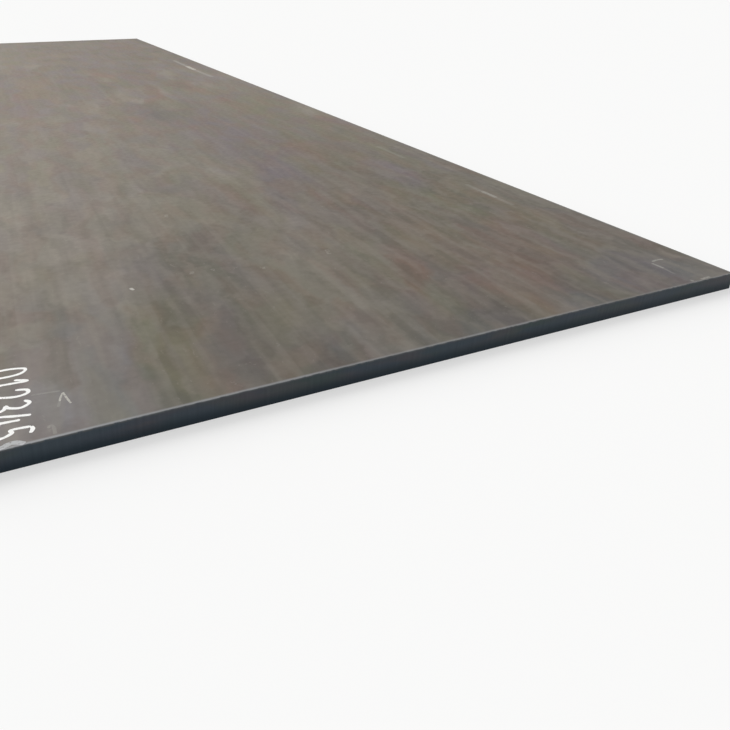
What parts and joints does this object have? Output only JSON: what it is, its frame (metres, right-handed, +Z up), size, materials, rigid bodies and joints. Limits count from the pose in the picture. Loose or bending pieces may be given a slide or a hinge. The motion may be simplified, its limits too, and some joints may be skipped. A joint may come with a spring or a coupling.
{
  "type": "steel plate",
  "caption": "Thick flat rectangular steel plate with torch-cut edges and a dark rolled surface, raw stock for cutting and welding.",
  "frame": {"origin": "middle of the underside, the flat face that the plate lies on", "axes": "+X along the length, which is the rolling direction; +Y across the width; +Z up through the thickness"},
  "size_m": [10, 2.2, 0.05],
  "materials": {
    "rolled_steel": "hot-rolled mill scale on the faces and torch-cut sides, dull satin",
    "marking_paint": "white paint marker, dry and broken by the scale",
    "chalk": "setting-out chalk, thin and powdery"
  },
  "bodies": {
    "root": {"plate": "rolled_steel"}
  },
  "joints": []
}
